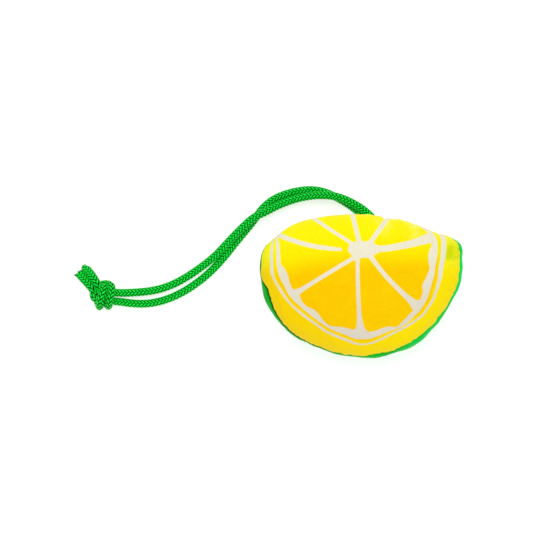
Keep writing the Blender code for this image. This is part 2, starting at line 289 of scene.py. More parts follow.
class Nodes:
    """A short way to write a material's node tree."""

    def __init__(self, name):
        self.material = bpy.data.materials.new(name)
        self.material.use_nodes = True
        self.tree = self.material.node_tree
        self.shader = self.tree.nodes["Principled BSDF"]

    def new(self, kind, **settings):
        node = self.tree.nodes.new(kind)
        for key, value in settings.items():
            setattr(node, key, value)
        return node

    def link(self, source, target):
        self.tree.links.new(source, target)

    def feed(self, socket, value):
        if isinstance(value, bpy.types.NodeSocket):
            self.link(value, socket)
        else:
            socket.default_value = value

    def math(self, operation, *values):
        node = self.new("ShaderNodeMath", operation=operation)
        for socket, value in zip(node.inputs, values):
            self.feed(socket, value)
        return node.outputs[0]

    def plus(self, first, second):
        return self.math("ADD", first, second)

    def minus(self, first, second):
        return self.math("SUBTRACT", first, second)

    def times(self, first, second):
        return self.math("MULTIPLY", first, second)

    def squares(self, across, upwards):
        """The sum of two values' squares."""
        return self.plus(self.times(across, across), self.times(upwards, upwards))

    def split(self, vector):
        """The X and Y of a vector."""
        parts = self.new("ShaderNodeSeparateXYZ")
        self.link(vector, parts.inputs["Vector"])
        return parts.outputs["X"], parts.outputs["Y"]

    def gloss(self, roughness, specular, tint):
        values = {"Roughness": roughness, "Specular IOR Level": specular, "Specular Tint": tint}
        set_inputs(self.shader, values)

    def mix(self, factor, first, second, blend_type="MIX"):
        node = self.new("ShaderNodeMix", data_type="RGBA", blend_type=blend_type)
        self.feed(node.inputs["Factor"], factor)
        self.feed(node.inputs["A"], first)
        self.feed(node.inputs["B"], second)
        return node.outputs["Result"]

    def ramp(self, value, low, high, start=0.0, end=1.0):
        """A smooth step of the value from low to high."""
        node = self.new("ShaderNodeMapRange", interpolation_type="SMOOTHSTEP")
        self.feed(node.inputs["Value"], value)
        set_inputs(node, {"From Min": low, "From Max": high, "To Min": start, "To Max": end})
        return node.outputs["Result"]

    def noise(self, vector, scale, detail):
        node = self.new("ShaderNodeTexNoise")
        self.feed(node.inputs["Vector"], vector)
        set_inputs(node, {"Scale": scale, "Detail": detail})
        return node.outputs["Fac"]

    def object_place(self):
        return self.new("ShaderNodeTexCoord").outputs["Object"]

    def bump(self, height, distance, strength, after=None):
        node = self.new("ShaderNodeBump")
        set_inputs(node, {"Distance": distance, "Strength": strength})
        self.feed(node.inputs["Height"], height)
        if after is not None:
            self.link(after, node.inputs["Normal"])
        return node.outputs["Normal"]


def srgb(red, green, blue):
    """A colour picked as 0 to 255 screen values, in linear light."""
    linear = []
    for value in (red, green, blue):
        share = value / 255
        linear.append(share / 12.92 if share <= 0.04045 else ((share + 0.055) / 1.055) ** 2.4)
    return (*linear, 1.0)


# Cord

def strand_route(side, knot_route, tail):
    """One strand's smooth line from inside the mouth to its cut end. Side 1 lies on top."""
    stations = np.array(CORD_STATIONS_MM)
    middle = stations[:, :2]
    before = np.vstack([middle[:1], middle[:-1]])
    after = np.vstack([middle[1:], middle[-1:]])
    along = unit(before - after)
    across = np.stack([-along[:, 1], along[:, 0]], axis=1) * stations[:, 3:4] / 2
    height = stations[:, 2].copy()
    if side > 0:
        height += np.sqrt(np.maximum(CORD_TOUCH_MM ** 2 - stations[:, 3] ** 2, 0.0))
    strand = np.column_stack([middle + side * across, height])
    start = strand[0] - CORD_START_MM * MOUTH_AXIS
    knot = KNOT_CENTRE_MM + np.array(knot_route)
    end = KNOT_CENTRE_MM + np.array(tail) - side * TAIL_CLOSER_MM * TAIL_SIDE
    route = smooth_route(np.vstack([start, strand, knot, end]))
    route[:, 2] = np.maximum(route[:, 2], CORD_DIAMETER_MM / 2)
    return eased(route, along_to(route, strand[-1]))


def along_to(route, point):
    """How far along the route the place nearest to a point is."""
    return along_route(route)[np.argmin(np.linalg.norm(route - point, axis=1))]


def eased(route, until):
    """The route with its bends rounded off, fading out before the given length."""
    route = evenly_spaced(route, EASING_STEP_MM)
    places = along_route(route)[1:-1, None]
    share = np.clip((until - places) / EASING_FADE_MM, 0.0, 1.0)
    for _ in range(EASING_PASSES):
        route[1:-1] += share * ((route[:-2] + route[2:]) / 2 - route[1:-1]) / 2
    return route


def carried_frames(route):
    """Two directions across the route at each point, carried along it without twist."""
    along = unit(np.gradient(route, axis=0))
    across = [unit(np.cross(along[0], [0.0, 0.0, 1.0]))]
    for direction in along[1:]:
        across.append(unit(across[-1] - direction * np.dot(across[-1], direction)))
    across = np.array(across)
    return across, np.cross(along, across)


def yarn_line(route, places, across, up, turn, radius):
    """A line that winds round the route at the given turns and radii."""
    along = along_route(route)
    centre, first, second = (at_places(places, along, rows) for rows in (route, across, up))
    outwards = np.cos(turn)[:, None] * first + np.sin(turn)[:, None] * second
    return centre + radius[:, None] * outwards, outwards


def yarn_tube(line, outwards, half_width):
    """Points of a flat yarn along a line, with its broad side facing outwards."""
    tangent = unit(np.gradient(line, axis=0))
    sideways = unit(np.cross(tangent, outwards))
    face_out = np.cross(sideways, tangent)
    wide = np.cos(YARN_TURNS)[None, :, None] * sideways[:, None, :] * half_width[:, None, None]
    thick = np.sin(YARN_TURNS)[None, :, None] * face_out[:, None, :] * YARN_THICKNESS_MM / 2
    return (line[:, None, :] + wide + thick).reshape(-1, 3)


def yarn_heights(wave):
    """How high each point of a yarn lies in the braid: 0 in the hollows, 1 on the crowns."""
    # These heights choose the painted shade and highlights of the yarn's colour
    level = wave / (2 * BRAID_WAVE_MM) + 0.5
    crown = YARN_CROWN_RISE * np.sin(YARN_TURNS)
    edge = YARN_EDGE_DROP * np.abs(np.cos(YARN_TURNS))
    return np.clip(level[:, None] + crown[None, :] - edge[None, :], 0.0, 1.0).ravel()


def closed_tube(rows, sides, first):
    """Faces of a tube with both ends closed, from the number of its first point."""
    last = first + (rows - 1) * sides
    start_cap = tuple(first + side for side in range(sides))
    end_cap = tuple(last + side for side in reversed(range(sides)))
    return grid_faces(rows, sides, first) + [start_cap, end_cap]


def braid_span(route, begin, end=None, cut=WHOLE_CUT_MM):
    """Points, faces and heights of the braid from one place along its route to another, or
    where no end is given to its flared and ragged cut end."""
    shorter, slant, point = cut
    route = evenly_spaced(route, YARN_STEP_MM)
    length = along_route(route)[-1]
    route = np.vstack([route, route[-1] + PAST_END_MM * unit(route[-1] - route[-2])])
    across, up = carried_frames(route)
    points = []
    faces = []
    heights = []
    for way in (1, -1):
        for carrier in range(CARRIERS_EACH_WAY):
            start_turn = math.tau * carrier / CARRIERS_EACH_WAY
            stop = end
            if end is None:
                end_turn = way * math.tau * length / BRAID_PITCH_MM + start_turn
                outwards = math.cos(end_turn) * across[-1] + math.sin(end_turn) * up[-1]
                side = np.dot(outwards, TAIL_SIDE)
                ragged = RAGGED_MM * math.sin(RAGGED_ANGLE * carrier + way)
                stop = length - shorter + ragged + slant * side - point * side ** 2
            places = np.linspace(begin, stop, round((stop - begin) / YARN_STEP_MM) + 1)
            turn = way * math.tau * places / BRAID_PITCH_MM + start_turn
            wave = way * BRAID_WAVE_MM * np.cos(WAVES_A_TURN * turn - math.pi / 4)
            flare = np.clip((places - length + FLARE_FROM_END_MM) / FLARE_LENGTH_MM, 0.0, 1.0)
            fray = (places - length + shorter + FRAY_LENGTH_MM) / FRAY_LENGTH_MM
            fray = np.clip(fray, 0.0, FRAY_MOST)
            radius = BRAID_MIDDLE_MM + wave + TAIL_FLARE_MM * flare + FRAY_SPREAD_MM * fray ** 2
            line, outwards = yarn_line(route, places, across, up, turn, radius)
            share = 1.0 + FLARE_WIDENING * flare - FRAY_NARROWING * np.clip(fray, 0.0, 1.0)
            faces += closed_tube(len(places), YARN_SIDES, len(heights))
            points.append(yarn_tube(line, outwards, YARN_WIDTH_MM / 2 * share))
            heights.extend(yarn_heights(wave))
    stop = length - shorter - CORE_POINT_SHARE * point - CORE_SUNK_MM if end is None else end
    places = np.linspace(begin, stop, max(2, round((stop - begin) / CORE_STEP_MM)))
    radius = np.full(len(places), CORE_RADIUS_MM)
    core = []
    for side in range(CORE_SIDES):
        turn = np.full(len(places), math.tau * side / CORE_SIDES)
        core.append(yarn_line(route, places, across, up, turn, radius)[0])
    faces += closed_tube(len(places), CORE_SIDES, len(heights))
    points.append(np.stack(core, axis=1).reshape(-1, 3))
    # The core gets height 0, and so the painted hollow shade; its cut end gets a flank height
    heights.extend([0.0] * ((len(places) - 1) * CORE_SIDES) + [CUT_HEIGHT] * CORE_SIDES)
    return np.vstack(points), faces, heights


def braid_object(name, spans, material):
    """One piece of braid from its spans, kept above the floor."""
    points = np.vstack([span[0] for span in spans])
    points[:, 2] = np.maximum(points[:, 2], 0.0)
    faces = []
    heights = []
    for _, span_faces, span_heights in spans:
        faces += [tuple(corner + len(heights) for corner in face) for face in span_faces]
        heights += span_heights
    braid = mesh_object(name, points, faces)
    # The heights pick the yarn's painted shade and highlights in the cord material
    add_point_values(braid, "height", heights)
    braid.data.materials.append(material)
    return braid


# Yarn colours by height: painted shade in the hollows, the yarn's own green on the flanks, a painted
# highlight on the crowns
YARN_HOLLOW_SHADE = srgb(0, 20, 0)
YARN_FLANK = srgb(0, 160, 10)
YARN_CROWN_HIGHLIGHT = srgb(14, 240, 68)
HOLLOW_SHADE_HEIGHTS = (0.46, 0.92)
CROWN_HIGHLIGHT_HEIGHTS = (0.8, 1.0)
YARN_MOTTLE_SCALE = 900.0
YARN_SHADES = (0.86, 1.08)
FIBRE_SCALE = 4200.0
FIBRE_DEPTH_M = 0.00004


def cord_material():
    """Green braid: painted highlights on the crowns, painted shade in the hollows between them, fine
    filaments along the yarn.
    """
    nodes = Nodes("green_cord_yarn")
    height = nodes.new("ShaderNodeAttribute", attribute_name="height").outputs["Fac"]
    place = nodes.object_place()
    colour = nodes.mix(nodes.ramp(height, *HOLLOW_SHADE_HEIGHTS), YARN_HOLLOW_SHADE, YARN_FLANK)
    colour = nodes.mix(nodes.ramp(height, *CROWN_HIGHLIGHT_HEIGHTS), colour, YARN_CROWN_HIGHLIGHT)
    mottle = nodes.noise(place, YARN_MOTTLE_SCALE, 2.0)
    shade = nodes.ramp(mottle, 0.3, 0.7, *YARN_SHADES)
    nodes.link(nodes.mix(1.0, colour, shade, "MULTIPLY"), nodes.shader.inputs["Base Color"])
    nodes.gloss(0.34, 0.34, (0.12, 1.0, 0.35, 1.0))
    fibres = nodes.noise(place, FIBRE_SCALE, 2.0)
    nodes.link(nodes.bump(fibres, FIBRE_DEPTH_M, 0.5), nodes.shader.inputs["Normal"])
    return nodes.material


# Pouch surface

OUTLINE = smooth_route([(x, y, 0.0) for x, y in POUCH_OUTLINE_MM], closed=True)
OUTLINE_ORDER = np.argsort(np.arctan2(OUTLINE[:, 1], OUTLINE[:, 0]) % math.tau)
OUTLINE_BEARINGS = (np.arctan2(OUTLINE[:, 1], OUTLINE[:, 0]) % math.tau)[OUTLINE_ORDER]
OUTLINE_RADII = np.linalg.norm(OUTLINE, axis=1)[OUTLINE_ORDER]
SEAM = smooth_route([(bearing, latitude, 0.0) for bearing, latitude in SEAM_DEGREES])
SEAM_STEPS = smooth_route([(bearing, step, 0.0) for bearing, step in SEAM_STEPS_DEGREES])
OUTLINE_TRIM = np.array(OUTLINE_TRIM_MM)


def outline_radius(bearing):
    return np.interp(bearing, OUTLINE_BEARINGS, OUTLINE_RADII, period=math.tau)


def seam_latitude(bearing):
    smooth = np.interp(bearing, np.radians(SEAM[:, 0]), np.radians(SEAM[:, 1]), period=math.tau)
    steps = np.interp(np.degrees(bearing) % 360.0, SEAM_STEPS[:, 0], SEAM_STEPS[:, 1])
    return smooth + np.radians(steps)


def off_angle(angle):
    """The angle brought between minus and plus half a turn."""
    return (angle + math.pi) % math.tau - math.pi


def plain_pouch(bearing, latitude):
    """Points of the stuffed pouch without folds: latitude 0 is the silhouette."""
    radius = outline_radius(bearing)
    towards_mouth = (0.5 + 0.5 * np.sin(bearing)) ** SILHOUETTE_RISE_POWER
    side = SILHOUETTE_LOW_MM + (SILHOUETTE_MOUTH_MM - SILHOUETTE_LOW_MM) * towards_mouth
    up = np.maximum(latitude, 0.0)
    down = np.minimum(latitude, 0.0)
    dome = np.sin(up) ** DOME_FULLNESS
    upper_reach = radius * np.maximum(np.cos(up), 0.0) ** DOME_FULLNESS
    upper_height = side + (POUCH_HEIGHT_MM - side) * dome
    off_mouth = off_angle(bearing - MOUTH_BEARING) / MOUTH_TUCK_SPREAD
    tuck = 1.0 + MOUTH_TUCK * np.exp(-off_mouth ** 2)
    spot = FLOOR_SPOT * radius
    lower_reach = spot + (radius - spot) * np.maximum(np.cos(down), 0.0) ** tuck
    lower_height = side * (1.0 + np.sin(down))
    above = latitude >= 0.0
    reach = np.where(above, upper_reach, lower_reach)
    height = np.where(above, upper_height, lower_height)
    shift = np.where(above, DOME_SHIFT_MM * np.sin(up) ** 2, 0.0)
    return np.stack([reach * np.cos(bearing), reach * np.sin(bearing) + shift, height], axis=-1)


MOUTH = plain_pouch(np.array([MOUTH_BEARING]), np.array([MOUTH_LATITUDE]))[0]
MOUTH_ACROSS = unit(np.cross(MOUTH_AXIS, [0.0, 0.0, 1.0]))
MOUTH_UP = np.cross(MOUTH_ACROSS, MOUTH_AXIS)


def soft_noise(points, scale, seed):
    """Smooth noise between about -1 and 1 at each point."""
    flat = points.reshape(-1, 3) / scale + seed
    values = [noise.noise(Vector(place)) for place in flat]
    return np.array(values).reshape(points.shape[:-1])


def seam_distance(bearing, latitude):
    """About how far from the seam a point is, in millimetres along the cloth."""
    return np.abs(latitude - seam_latitude(bearing)) * CLOTH_RADIUS_MM


# Folds: gathers have a depth, a distance from the mouth, a spread and a count in a turn,
# and latitudes are radians from the silhouette

WIDE_GATHERS_MM = (1.1, 12.0, 8.0, GATHER_COUNT)
FINE_GATHERS_MM = (0.45, 9.0, 6.0, 2 * GATHER_COUNT)
OUTER_GATHERS_MM = (0.4, 22.0, 10.0, 7)
GATHER_UNEVENNESS = 0.35
GATHERS_LOST = 0.85
GATHERS_FADE_FROM = -0.25
GATHERS_FADE_OVER = 0.3
RUN_DEPTH_MM = 0.26
RUN_LATITUDE = 0.12
RUN_REACH = 0.5
RUN_COUNT = 47
RUN_SLANT = 2.4
NOTCH_DEPTH_MM = 1.0
NOTCH_REACH = 0.45
PUCKER_MM = 0.15
PUCKER_REACH_MM = 4.5
PUCKER_WANDER = [(1.6, 5, 0.4), (1.1, 9, 2.0)]
PUCKER_WAVES = [(1.0, 62, 3), (0.6, 97, 5)]
CREASE_DEPTH_MM = 0.75
CREASE_REACH_MM = 0.9
TRIM_REACH = 0.6
CALM_SHARE = 0.3
CALM_REACH = 0.45
DENTS = [(0.7, 24.0, 3.1), (0.4, 10.0, 8.4)]
RIDGE_MM = 0.45
RIDGE_LEVEL = 0.7
RIDGE_GAIN = 2.0
RIDGE_POWER = 0.7
RIDGE_SIZE_MM = 15.0
RIDGE_SEED = 5.7
FLOOR_REACH_MM = 4.0


def hill(value, middle, spread):
    """A smooth rise to 1 where the value is at its middle."""
    return np.exp(-((value - middle) / spread) ** 2)


def gathers_ring(far, turn, ring, phase):
    depth, place, spread, count = ring
    return depth * hill(far, place, spread) * np.cos(count * turn + phase)


def edge_folds(bearing, latitude):
    """Runs and a notch where the cord pulls at the edge, and the seam's puckers."""
    over_edge = hill(off_angle(bearing - RUN_BEARING), 0.0, RUN_SPREAD)
    runs = np.cos(RUN_COUNT * bearing + RUN_SLANT * latitude)
    runs = RUN_DEPTH_MM * over_edge * hill(latitude, RUN_LATITUDE, RUN_REACH) * runs
    notch = hill(off_angle(bearing - NOTCH_BEARING), 0.0, NOTCH_SPREAD)
    runs -= NOTCH_DEPTH_MM * notch * hill(latitude, 0.0, NOTCH_REACH)
    from_seam = seam_distance(bearing, latitude)
    wander = sum(size * np.sin(count * bearing + phase) for size, count, phase in PUCKER_WANDER)
    pucker = sum(
        size * np.sin(count * bearing + shift * wander) for size, count, shift in PUCKER_WAVES
    )
    pucker = pucker * PUCKER_MM * np.exp(-from_seam / PUCKER_REACH_MM)
    crease = -CREASE_DEPTH_MM * np.exp(-from_seam / CREASE_REACH_MM)
    trim = np.interp(np.degrees(bearing) % 360.0, OUTLINE_TRIM[:, 0], OUTLINE_TRIM[:, 1])
    return runs + pucker + crease + trim * hill(latitude, 0.0, TRIM_REACH)


def folded_pouch(bearing, latitude):
    """The pouch's cloth with gathers at the mouth, puckers at the seam and soft dents."""
    point = plain_pouch(bearing, latitude)
    outwards = unit(point - POUCH_HEART_MM)
    offset = point - MOUTH
    far = np.linalg.norm(offset, axis=-1)
    turn = np.arctan2(offset @ MOUTH_UP, offset @ MOUTH_ACROSS)
    uneven = GATHER_UNEVENNESS * np.sin(2 * turn + 0.7)
    gathers = gathers_ring(far, turn, WIDE_GATHERS_MM, uneven)
    gathers += gathers_ring(far, turn, FINE_GATHERS_MM, 1.3)
    gathers += gathers_ring(far, turn, OUTER_GATHERS_MM, 0.6)
    fade = np.clip((latitude - GATHERS_FADE_FROM) / GATHERS_FADE_OVER, 0.0, 1.0)
    gathers *= 1.0 - GATHERS_LOST * fade
    calm = CALM_SHARE + (1.0 - CALM_SHARE) * np.clip(np.abs(latitude) / CALM_REACH, 0.0, 1.0)
    dents = sum(depth * soft_noise(point, size, seed) for depth, size, seed in DENTS)
    ridges = np.abs(soft_noise(point, RIDGE_SIZE_MM, RIDGE_SEED)) ** RIDGE_POWER
    ridges = RIDGE_MM * (RIDGE_LEVEL - RIDGE_GAIN * ridges)
    off_floor = np.clip(point[..., 2] / FLOOR_REACH_MM, 0.0, 1.0)
    lift = (gathers + edge_folds(bearing, latitude) + calm * (dents + ridges)) * off_floor
    folded = point + lift[..., None] * outwards
    folded[..., 2] = np.maximum(folded[..., 2], 0.0)
    return folded


PAST_EDGE_STEPS = 8


def print_place(bearing, latitude):
    """Where each point lies on the flat print, in millimetres: as seen from above down to
    the silhouette, and on along the cloth past it."""
    point = plain_pouch(bearing, np.maximum(latitude, 0.0))
    spread = CAMERA_RISE_MM / (CAMERA_RISE_MM + CAMERA_PLANE_MM - point[..., 2])
    foot = np.array(CAMERA_FOOT_MM)
    seen = foot + (point[..., :2] - foot) * spread[..., None]
    past = np.zeros(latitude.shape)
    down = np.minimum(latitude, 0.0)
    for share in np.linspace(0.0, 1.0, PAST_EDGE_STEPS + 1)[1:]:
        here = plain_pouch(bearing, down * share)
        before = plain_pouch(bearing, down * (share - 1 / PAST_EDGE_STEPS))
        past += np.linalg.norm(here - before, axis=-1)
    return seen + past[..., None] * np.stack([np.cos(bearing), np.sin(bearing)], axis=-1)


def capped_rings(first, rings, last):
    """Points and faces of rings of points between two poles."""
    count, sides = rings.shape[:2]
    points = np.vstack([[first], rings.reshape(-1, 3), [last]])
    faces = [(0, 1 + side, 1 + (side + 1) % sides) for side in range(sides)]
    faces += grid_faces(count, sides, 1)
    start = 1 + (count - 1) * sides
    end = len(points) - 1
    faces += [(end, start + (side + 1) % sides, start + side) for side in range(sides)]
    return points, faces


# Grids of the cloth, as points round and rows from the seam to the pole
FRONT_GRID = (440, 150)
BACK_GRID = (400, 80)
CLOSER_NEAR_MOUTH = 0.4
CORE_GAP_MM = 0.2


def cloth_half(name, grid, to_top):
    """One stuffed half of the pouch: its cloth, closed across the pouch behind the seam."""
    sides, rows = grid
    way = 1.0 if to_top else -1.0
    bearing = np.arange(sides) * math.tau / sides
    bearing = bearing - CLOSER_NEAR_MOUTH * np.sin(bearing - MOUTH_BEARING)
    rim = seam_latitude(bearing)
    pole = way * math.pi / 2
    gap = way * SEAM_GAP_ANGLE
    share = np.linspace(0.0, 1.0, rows + 1)
    if to_top:
        latitude = pole + (rim + gap - pole)[None, :] * share[1:, None]
    else:
        latitude = (rim + gap)[None, :] + (pole - rim - gap)[None, :] * share[:-1, None]
        latitude = np.vstack([latitude, np.full((1, sides), pole)])
    turn = np.broadcast_to(bearing, latitude.shape)
    cloth = folded_pouch(turn, latitude)
    flat = print_place(turn, latitude)
    heart = np.array(CORE_HEART_MM) + (0.0, 0.0, way * CORE_GAP_MM)
    inner_rim = cloth[-1] if to_top else cloth[0]
    core = np.stack([heart + fraction * (inner_rim - heart) for fraction in CORE_FRACTIONS])
    if to_top:
        top = folded_pouch(np.array([0.0]), np.array([pole]))[0]
        points, faces = capped_rings(top, np.vstack([cloth, core]), heart)
        offset = 1
    else:
        points, faces = capped_rings(heart, np.vstack([core[::-1], cloth]), np.zeros(3))
        offset = 1 + len(core) * sides
    past_cloth = offset + latitude.size
    spots = np.zeros((len(points), 2))
    spots[offset:past_cloth] = flat.reshape(-1, 2)
    if to_top:
        spots[0] = print_place(np.array([0.0]), np.array([pole]))[0]
        spots[past_cloth:] = flat[-1].mean(axis=0)
    obj = mesh_object(name, points, faces)
    add_print_layer(obj, spots)
    # from_seam sets where the green cloth gets its painted seam shade; where the seam opens, the
    # distance grows and the shade lessens
    from_seam = np.zeros(len(points))
    opening = OPEN_SEAM_MM * np.maximum(np.cos(turn - OPEN_SEAM_BEARING), 0.0)
    from_seam[offset:past_cloth] = (seam_distance(turn, latitude) + opening).ravel()
    add_point_values(obj, "from_seam", from_seam)
    return obj


# Print: places in pixels of the photograph, turned to millimetres from the hub

HUB_PIXEL = (361.0, 249.0)
PHOTO_MIDDLE_PIXEL = PHOTO_PIXELS / 2
RING_OUTER_PIXELS = [
    (275.8, 240.5), (276.4, 249), (276.9, 259), (277.9, 271), (280.5, 280.2), (284.1, 287.4),
    (287.7, 294.1), (292.6, 298.9), (297.4, 303.8), (303.5, 309.8), (309.5, 314.7), (315.6, 318.9),
    (321.7, 323.2), (327.7, 326.8), (333.8, 330.5), (339.8, 333.2), (348.3, 336.5), (354, 338.3),
    (360.7, 338.9), (369, 338.6), (377.3, 336.5), (385.6, 333.2), (393.1, 329.9), (399.4, 327.6),
    (406.3, 323.6), (410.5, 320.2), (414.6, 316), (418.8, 311.7), (425.2, 302.5), (430.4, 290.5),
    (433.8, 275.6), (436, 260.3), (436.7, 250), (436.4, 243.3), (435.2, 238.8), (431.1, 232.4),
    (428.5, 229.7), (423, 221), (413, 207), (394, 187), (361, 174.5), (326.5, 177), (297, 195.5),
    (280.5, 212.5), (274.5, 230),
]
RING_INNER_PIXELS = [
    (278.6, 240.8), (279.7, 248), (280.3, 257), (281, 263.6), (284.9, 268.9), (287.4, 274.2),
    (288.2, 280.4), (289.9, 286), (294, 291.5), (299.4, 296.2), (301, 300), (303.4, 303.9),
    (307.4, 307.3), (313.6, 310), (317.8, 313.2), (321.3, 317.3), (325, 321.5), (329.3, 324.6),
    (333.8, 326.2), (341.8, 326.8), (350, 328.6), (358, 331), (368.2, 332.4), (373.2, 332.2),
    (379, 330.6), (384.8, 328), (391.4, 327), (396.8, 326.4), (400, 323.8), (404, 319.2), (409, 314.8),
    (413.6, 310.6), (417.5, 303.5), (421.2, 297.2), (423.4, 291.8), (423.2, 285.2), (425.8, 280),
    (427.9, 274.2), (429.2, 267.4), (428.2, 260.3), (428, 255.5), (430, 248.8), (430.9, 243.2),
    (430, 238.4), (427.5, 232.4), (423.3, 229), (417.6, 224.6), (407, 212), (390, 194), (361, 182),
    (330, 184), (303, 200), (285, 217), (276.5, 231), (277.4, 237),
]
THIN_MIDDLE_PIXELS = [
    (272.9, 240.5), (272.4, 249), (271.9, 257), (272.2, 266), (274, 278.6), (278.7, 287.4),
    (285.3, 297.4), (291.4, 304.2), (297.4, 309.7), (307.1, 317.6), (315.6, 323.8), (324.7, 330.2),
    (333.8, 335.2), (342.9, 339.3), (348.3, 340.9), (356.6, 343.2), (364.9, 344.1), (373.2, 342.8),
    (381.5, 339.4), (389.8, 335.2), (398, 330.9), (406.3, 326.6), (414.6, 321.8), (422.4, 315.8),
    (429, 306.8), (435, 295.2), (438.3, 283.4), (440.5, 271), (441.9, 257.4), (442.5, 248),
    (442.4, 240.5), (441, 236), (438.2, 231.6), (434, 223.5), (422, 210), (401, 188), (361, 167),
    (324, 167), (290, 187), (274, 206), (269, 228),
]
# Half the thin line's width in millimetres at each bearing in degrees
THIN_HALF_WIDTHS = [
    (6, 1.5), (30, 1), (45, 0.6), (150, 0.6), (175, 0.5), (180, 0.88), (185, 0.96), (191, 0.92),
    (205, 0.7), (218, 0.62), (232, 0.62), (246, 0.68), (259, 0.72), (267, 0.52), (272, 0.4), (276, 0.5),
    (285, 0.6), (300, 0.66), (315, 0.68), (327, 0.8), (338, 1), (345, 1.35), (352, 1.3), (359.5, 1.55),
]
RADIUS_SCALE_MM = 80.0
THIN_SCALE_MM = 2.0
TIP_LENGTH_MM = 5.0


def from_hub(pixel):
    """Millimetres right of and above the hub, on the plane that the camera measures on."""
    return (
        (pixel[0] - HUB_PIXEL[0]) * PHOTO_MM_PER_PIXEL,
        (HUB_PIXEL[1] - pixel[1]) * PHOTO_MM_PER_PIXEL,
    )


def round_curve(nodes, share, places, scale):
    """A closed curve through (share of a turn, value) places, from the share of a turn."""
    places = sorted(places)
    middle = (places[0][1] + places[-1][1]) / 2 / scale
    node = nodes.new("ShaderNodeFloatCurve")
    curve = node.mapping.curves[0]
    curve.points[0].location = (0.0, middle)
    curve.points[-1].location = (1.0, middle)
    for place, value in places:
        curve.points.new(place, value / scale)
    node.mapping.update()
    nodes.feed(node.inputs["Value"], share)
    return nodes.math("MULTIPLY", node.outputs["Value"], scale)


def outline_curve(nodes, share, pixels):
    """The radius of a closed outline round the hub, from the share of a turn."""
    polar = []
    for pixel in pixels:
        x, y = from_hub(pixel)
        polar.append((math.atan2(y, x) / math.tau % 1.0, math.hypot(x, y)))
    return round_curve(nodes, share, polar, RADIUS_SCALE_MM)


def spoke_distance(nodes, x, y, start, end, width, bend, flare, flare_length, tip):
    """How far outside a spoke each point is: a bent bar from start to end with round ends,
    flared where it ends and narrowed by tip where it starts."""
    start_x, start_y = from_hub(start)
    end_x, end_y = from_hub(end)
    length = math.hypot(end_x - start_x, end_y - start_y)
    cosine = (end_x - start_x) / length
    sine = (end_y - start_y) / length
    right = nodes.minus(x, start_x)
    above = nodes.minus(y, start_y)
    along = nodes.plus(nodes.times(right, cosine), nodes.times(above, sine))
    across = nodes.minus(nodes.times(above, cosine), nodes.times(right, sine))
    kept = nodes.math("MINIMUM", nodes.math("MAXIMUM", along, 0.0), length)
    share = nodes.math("DIVIDE", kept, length)
    rest = nodes.minus(1.0, share)
    arch = nodes.times(nodes.times(share, rest), 4 * bend)
    sideways = nodes.minus(across, arch)
    past = nodes.minus(along, kept)
    distance = nodes.math("SQRT", nodes.squares(sideways, past))
    to_end = nodes.minus(length, kept)
    widening = nodes.math("EXPONENT", nodes.math("DIVIDE", to_end, -flare_length))
    half = nodes.math("MULTIPLY_ADD", widening, flare, width / 2)
    if tip:
        narrowing = nodes.math("EXPONENT", nodes.math("DIVIDE", kept, -TIP_LENGTH_MM))
        half = nodes.math("MULTIPLY_ADD", narrowing, -tip, half)
    return nodes.minus(distance, half)


# Spokes: start and end pixel, width, bend, flare and its length, narrowing where it starts
SPOKES = [
    ((340.6, 249.4), (280.5, 235.6), 2.75, 1.75, 0, 4.0, 0.5),
    ((352.6, 244), (290.4, 203.2), 2.0, 0, 0, 4.0, 0),
    ((359.6, 243), (341.1, 170), 2.7, 0, 0, 4.0, 0),
    ((367.6, 246.4), (412.6, 183.4), 2.7, 0, 0, 4.0, 0),
    ((372, 249.3), (434, 236.2), 3.6, -1.65, 1.7, 9.0, 0),
    ((367.2, 251.9), (416.1, 304.9), 2.6, -1.5, 2.0, 3.6, 0),
    ((357.6, 256), (360.7, 334), 2.3, -0.5, 3.6, 4.0, 0),
    ((353.8, 257.8), (293.3, 294.6), 2.35, 0, 1.7, 3.4, 0),
]
HUB_MIDDLE_PIXEL = (363.0, 249.4)
HUB_HALF_SIZES_MM = (9.0, 5.0)
SPOKE_BLEND_MM = 2.4
RING_BLEND_MM = 2.6
PRINT_EDGE_MM = 0.16

# Colours of the print, and where each change begins and ends, in millimetres from the hub. The upward
# changes of the segments, rind and pith are painted light: lighter at the top, deeper at the bottom
SEGMENT_SHADED_LOW_LEFT = srgb(247, 196, 1)
SEGMENT_SHADED_LOW_RIGHT = srgb(246, 198, 2)
SEGMENT_MIDDLE = srgb(254, 231, 3)
SEGMENT_LIT_HIGH = srgb(253, 239, 12)
SEGMENT_ACROSS_MM = (-32.0, 34.0)
SEGMENT_PAINTED_SHADE_RISE_MM = (-14.0, 3.0)
SEGMENT_PAINTED_LIGHT_TOP_MM = (1.0, 13.0)
SEGMENT_ARCH = 0.0035
RIND_LEFT = srgb(248, 210, 2)
RIND_RIGHT = srgb(252, 226, 4)
RIND_LIT_HIGH = srgb(245, 242, 30)
RIND_ACROSS_MM = (-50.0, 50.0)
RIND_PAINTED_LIGHT_RISE_MM = (-18.0, -2.0)
RIND_FADE_MM = (-3.5, 0.0)
PAINTED_GLOSS_YELLOW = srgb(254, 249, 140)
GLOSS_MIDDLE_MM = (26.0, 15.0)
GLOSS_HALF_SIZES_MM = (22.0, 11.0)
GLOSS_MOST = 0.5
SHOWING = srgb(212, 222, 2)
SHOWING_RIGHT_MM = (44.0, 50.0)
SHOWING_FOOT_MM = (-7.6, -5.0)
SHOWING_TOP_MM = (0.5, 5.5)
MOTTLED_YELLOW = srgb(255, 232, 20)
MOTTLE_MOST = 0.12
PITH_SHADED_LOW = srgb(220, 212, 194)
PITH_LIT_HIGH = srgb(234, 229, 205)
PITH_PAINTED_LIGHT_RISE_MM = (-50.0, 12.0)


def in_oval(nodes, x, y, middle, half_sizes):
    """The squared distance from an oval's middle, which is 1 on its edge."""
    across = nodes.math("DIVIDE", nodes.minus(x, middle[0]), half_sizes[0])
    upwards = nodes.math("DIVIDE", nodes.minus(y, middle[1]), half_sizes[1])
    return nodes.squares(across, upwards)


